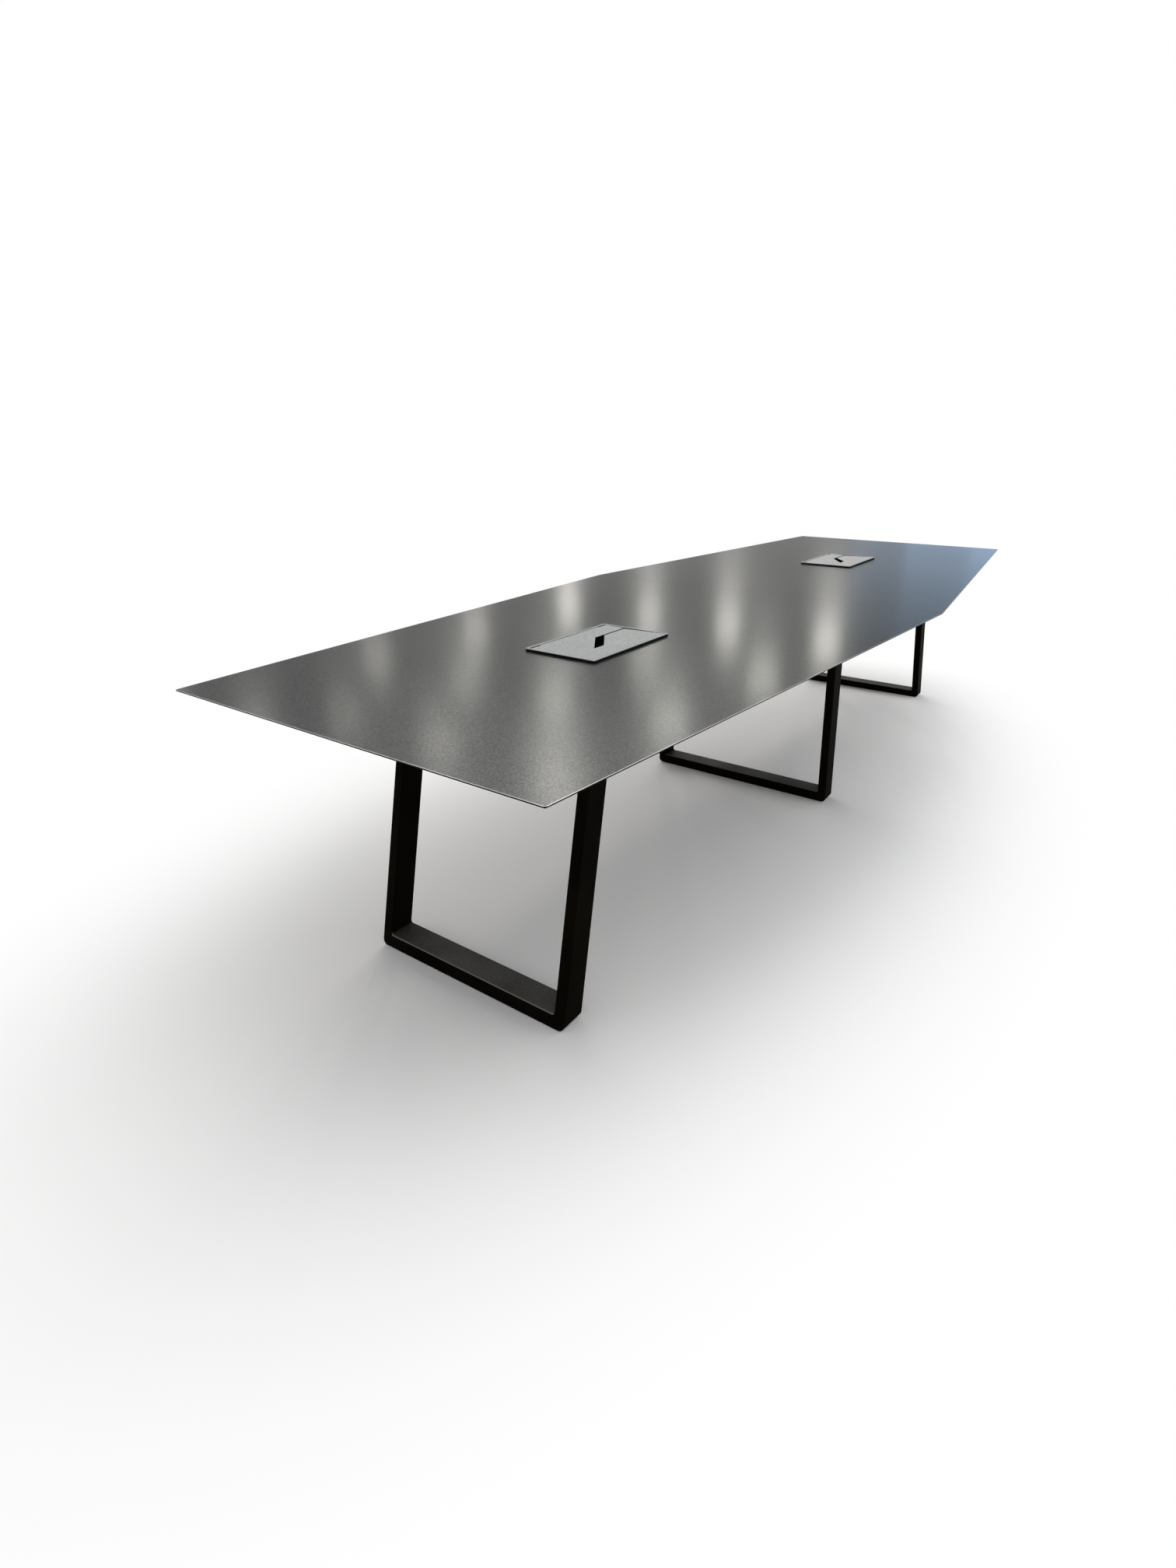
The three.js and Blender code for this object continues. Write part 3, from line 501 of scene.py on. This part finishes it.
# Screws: four zinc-plated steel screws per leg, in the same finish as the draw bolts.
# They are driven up through rail and plate into the board of the top.
SCREWS_PER_LEG = 4
zinc.wear(*(f"screw_{leg}_{n + 1}" for leg in LEGS for n in range(SCREWS_PER_LEG)))

# Glides: thin black nylon discs, two under the foot of each leg, a little scuffed.
# A moulded stem pressed into the tube holds each one.
NYLON_BLACK = (0.020, 0.020, 0.021, 1.0)
NYLON_SCUFF = (0.060, 0.060, 0.060, 1.0)
NYLON_ROUGHNESS = (0.5, 0.68)
SCUFFS_PER_METRE = 500.0
SCUFF_SPAN = (0.45, 0.75)

nylon = Finish("glide_nylon")
scuffs = nylon.noise(SCUFFS_PER_METRE, detail=4.0, roughness=0.7)
nylon.feed(
    Base_Color=nylon.blend(nylon.range(scuffs, SCUFF_SPAN), NYLON_BLACK, NYLON_SCUFF),
    Roughness=nylon.range(scuffs, WIDE_SPAN, NYLON_ROUGHNESS),
)
nylon.relief(scuffs, strength=0.1, depth=0.0001)
nylon.wear(*(f"glide_{leg}_{end}" for leg in LEGS for end in ("front", "rear")))

# Power box housings: a moulded black plastic well with a flange that lies on the table.
# The mould leaves a fine even texture, and clamps below hold the flange down.
BOXES = ("box_left", "box_right")
PLASTIC_BLACK = (0.0028, 0.0028, 0.0029, 1.0)
PLASTIC_GREY = (0.0062, 0.0062, 0.0064, 1.0)
PLASTIC_ROUGHNESS = (0.48, 0.62)
SPARK_PER_METRE = 1800.0
FLOW_PER_METRE = 30.0

plastic = Finish("moulded_black_plastic")
spark = plastic.noise(SPARK_PER_METRE, detail=2.0)
flow = plastic.noise(FLOW_PER_METRE, detail=2.0)
plastic.feed(
    Base_Color=plastic.blend(plastic.range(flow, NARROW_SPAN), PLASTIC_BLACK, PLASTIC_GREY),
    Roughness=plastic.range(spark, WIDE_SPAN, PLASTIC_ROUGHNESS),
)
plastic.fixed(Specular_IOR_Level=0.10)
plastic.relief(spark, strength=0.12, depth=0.0001)
plastic.wear(*(f"{box}_housing" for box in BOXES))

# Trim rings and doors: aluminium sheet, blasted and anodised silver with a faint brushing
# along its length. Its faces that stand upright are coloured near black. The doors turn on
# steel rods held by the trim.
ALUMINIUM_PALE = (0.44, 0.455, 0.452, 1.0)
ALUMINIUM_DEEP = (0.27, 0.281, 0.279, 1.0)
ALUMINIUM_ROUGHNESS = (0.54, 0.66)
ALUMINIUM_METALLIC = 0.12
EDGE_BLACK = (0.0015, 0.0015, 0.0015, 1.0)
BRUSHING_PER_METRE = (30.0, 1500.0, 1500.0)
BLASTING_PER_METRE = 300.0
SATIN_SPAN = (0.15, 0.38)
SHEET_FACE = (0.55, 0.7)

aluminium = Finish("satin_anodised_aluminium")
brush_lines = aluminium.stretched(BRUSHING_PER_METRE)
brushing = aluminium.noise(detail=3.0, roughness=0.6, vector=brush_lines)
blasting = aluminium.noise(BLASTING_PER_METRE, detail=2.0)
satin = aluminium.calculate("MULTIPLY", brushing, blasting)
up_or_down = aluminium.calculate("ABSOLUTE", aluminium.facing_up)
# Faces that stand upright are coloured near black.
sheet_face = aluminium.range(up_or_down, SHEET_FACE)
silver = aluminium.blend(aluminium.range(satin, SATIN_SPAN), ALUMINIUM_DEEP, ALUMINIUM_PALE)
aluminium.feed(
    Base_Color=aluminium.blend(sheet_face, EDGE_BLACK, silver),
    Metallic=aluminium.range(sheet_face, FULL_SPAN, (0.0, ALUMINIUM_METALLIC)),
    Roughness=aluminium.range(brushing, WIDE_SPAN, ALUMINIUM_ROUGHNESS),
)
aluminium.fixed(Specular_IOR_Level=0.0)
aluminium.relief(satin, strength=0.10, depth=0.0001)
aluminium.wear(*(f"{box}_trim" for box in BOXES))
aluminium.wear(*(f"{box}_door_{end}" for box in BOXES for end in ("rear", "front")))
zinc.wear(*(f"{box}_rod_{end}" for box in BOXES for end in ("rear", "front")))

# Socket blocks: moulded bars with a sloping face along each long wall of the well.
# The outlets of the power block have plated contact sleeves in their slots. Each jack of
# the data block is closed by a spring shutter with a panel and a finger rib.
BOX_MIDDLES = {"box_left": -0.949, "box_right": 0.949}
FACE_SLOPE = math.radians(34.38)
FACE_ACROSS = 0.0584
FACE_HEIGHT = 0.693
OUTLET_PLACES = (-0.099, 0.0, 0.099)
SLOT_PLACES = (-0.0064, 0.0064)
SLEEVE_SIZE = (0.0019, 0.0076, 0.006)
SLEEVE_MIDDLE = (0.0, 0.0005, -0.007)
SLEEVE_WALL = 0.00035
SLEEVE_BORE = 0.005
SLEEVE_TURN = (FACE_SLOPE, 0.0, 0.0)
JACK_PLACES = (-0.1114, -0.0371, 0.0371, 0.1114)
SHUTTER_SIZE = (0.0146, 0.0126, 0.0014)
SHUTTER_MIDDLE = (0.0, 0.0, -0.0023)
SHUTTER_BORDER = 0.0013
SHUTTER_PANEL_DEEP = 0.0004
SHUTTER_TURN = (FACE_SLOPE, 0.0, math.pi)
RIB_INSET = 0.0014
RIB_SLIM = 0.16
RIB_DOWN = 0.0028
RIB_TALL = 0.0010
EDGE_ROUND = 0.00012
EDGE_STEPS = 2
SMOOTH_ANGLE = math.radians(35.0)
SAME_WAY = 0.9
SHUTTER_GREY = (0.030, 0.030, 0.031, 1.0)
SHUTTER_PALE = (0.048, 0.048, 0.049, 1.0)
SHUTTER_ROUGHNESS = (0.42, 0.55)
MOULDING_PER_METRE = 900.0

plastic.wear(*(f"{box}_{piece}" for box in BOXES for piece in ("power", "data")))
shutter_plastic = Finish("grey_shutter_plastic")
moulding = shutter_plastic.noise(MOULDING_PER_METRE, detail=3.0)
mottle = shutter_plastic.range(moulding, WIDE_SPAN)
shutter_plastic.feed(
    Base_Color=shutter_plastic.blend(mottle, SHUTTER_GREY, SHUTTER_PALE),
    Roughness=shutter_plastic.range(moulding, WIDE_SPAN, SHUTTER_ROUGHNESS),
)
shutter_plastic.relief(moulding, strength=0.1, depth=0.0001)


def fresh_block(name, size, middle):
    """A box of this size about its middle, with its place in its mesh."""
    bpy.ops.object.select_all(action="DESELECT")
    bpy.ops.mesh.primitive_cube_add(size=1.0, location=middle)
    block = bpy.context.object
    block.name = name
    block.scale = size
    bpy.ops.object.transform_apply(location=True, rotation=True, scale=True)
    return block


def pick_faces(piece, facing):
    """Goes into edit mode with only the faces that point this way selected."""
    bpy.context.tool_settings.mesh_select_mode = (False, False, True)
    bpy.ops.object.mode_set(mode="EDIT")
    bpy.ops.mesh.select_all(action="DESELECT")
    bpy.ops.object.mode_set(mode="OBJECT")
    for face in piece.data.polygons:
        face.select = face.normal.dot(Vector(facing)) > SAME_WAY
    bpy.ops.object.mode_set(mode="EDIT")


def pull(distance):
    """Extrudes what is selected up or down."""
    bpy.ops.mesh.extrude_region_move(TRANSFORM_OT_translate={"value": (0.0, 0.0, distance)})


def round_off(piece, finish):
    """Leaves edit mode, breaks the sharp edges and gives the piece its finish."""
    bpy.ops.object.mode_set(mode="OBJECT")
    edge = piece.modifiers.new("edge", "BEVEL")
    edge.width = EDGE_ROUND
    edge.segments = EDGE_STEPS
    edge.limit_method = "ANGLE"
    bpy.ops.object.modifier_apply(modifier=edge.name)
    bpy.ops.object.shade_smooth_by_angle(angle=SMOOTH_ANGLE)
    piece.data.materials.append(finish.made)


def set_copy(model, name, place, turn):
    """A copy of a model with its own mesh, turned and put in place on the table."""
    piece = model.copy()
    piece.data = model.data.copy()
    piece.name = name
    bpy.context.scene.collection.objects.link(piece)
    piece.rotation_euler = turn
    piece.location = place
    bpy.ops.object.select_all(action="DESELECT")
    piece.select_set(True)
    bpy.context.view_layer.objects.active = piece
    bpy.ops.object.transform_apply(location=True, rotation=True, scale=True)
    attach(piece, "table")


sleeve = fresh_block("contact_sleeve", SLEEVE_SIZE, SLEEVE_MIDDLE)
pick_faces(sleeve, (0.0, 0.0, 1.0))
bpy.ops.mesh.inset(thickness=SLEEVE_WALL)
pull(-SLEEVE_BORE)
round_off(sleeve, zinc)
slots_along = [outlet + slot for outlet in OUTLET_PLACES for slot in SLOT_PLACES]
for box, middle in BOX_MIDDLES.items():
    for number, along in enumerate(slots_along):
        name = f"{box}_contact_{number + 1}"
        place = (middle + along, FACE_ACROSS, FACE_HEIGHT)
        set_copy(sleeve, name, place, SLEEVE_TURN)
bpy.data.objects.remove(sleeve)

shutter = fresh_block("jack_shutter", SHUTTER_SIZE, SHUTTER_MIDDLE)
pick_faces(shutter, (0.0, 0.0, 1.0))
bpy.ops.mesh.inset(thickness=SHUTTER_BORDER)
pull(-SHUTTER_PANEL_DEEP)
bpy.ops.mesh.inset(thickness=RIB_INSET)
bpy.ops.transform.resize(value=(1.0, RIB_SLIM, 1.0), center_override=SHUTTER_MIDDLE)
bpy.ops.transform.translate(value=(0.0, -RIB_DOWN, 0.0))
pull(RIB_TALL)
round_off(shutter, shutter_plastic)
for box, middle in BOX_MIDDLES.items():
    for number, along in enumerate(JACK_PLACES):
        name = f"{box}_shutter_{number + 1}"
        place = (middle + along, -FACE_ACROSS, FACE_HEIGHT)
        set_copy(shutter, name, place, SHUTTER_TURN)
bpy.data.objects.remove(shutter)

# Clamps: zinc-plated angles that pull the box up against the underside of the top.
# Two hexagon-head screws hold each one, driven up through its foot.
SCREW_PLACES = (-0.012, 0.012)
SCREW_ACROSS = 0.114
SCREW_SEAT = 0.714
SCREW_TURN = (0.0, 0.0, 0.0)
HEAD_SIDES = 6
HEAD_RADIUS = 0.005
HEAD_TALL = 0.0035
HEAD_STEP = 0.0008
HEAD_DISC = 0.0005

zinc.wear(*(f"{box}_clamp_{end}" for box in BOXES for end in ("rear", "front")))
bpy.ops.object.select_all(action="DESELECT")
bpy.ops.mesh.primitive_cylinder_add(vertices=HEAD_SIDES, radius=HEAD_RADIUS, depth=HEAD_TALL)
head = bpy.context.object
pick_faces(head, (0.0, 0.0, -1.0))
bpy.ops.mesh.inset(thickness=HEAD_STEP)
pull(-HEAD_DISC)
round_off(head, zinc)
for box, middle in BOX_MIDDLES.items():
    for end, side in (("rear", 1.0), ("front", -1.0)):
        for number, along in enumerate(SCREW_PLACES):
            name = f"{box}_clamp_{end}_screw_{number + 1}"
            place = (middle + along, side * SCREW_ACROSS, SCREW_SEAT - HEAD_TALL / 2)
            set_copy(head, name, place, SCREW_TURN)
bpy.data.objects.remove(head)
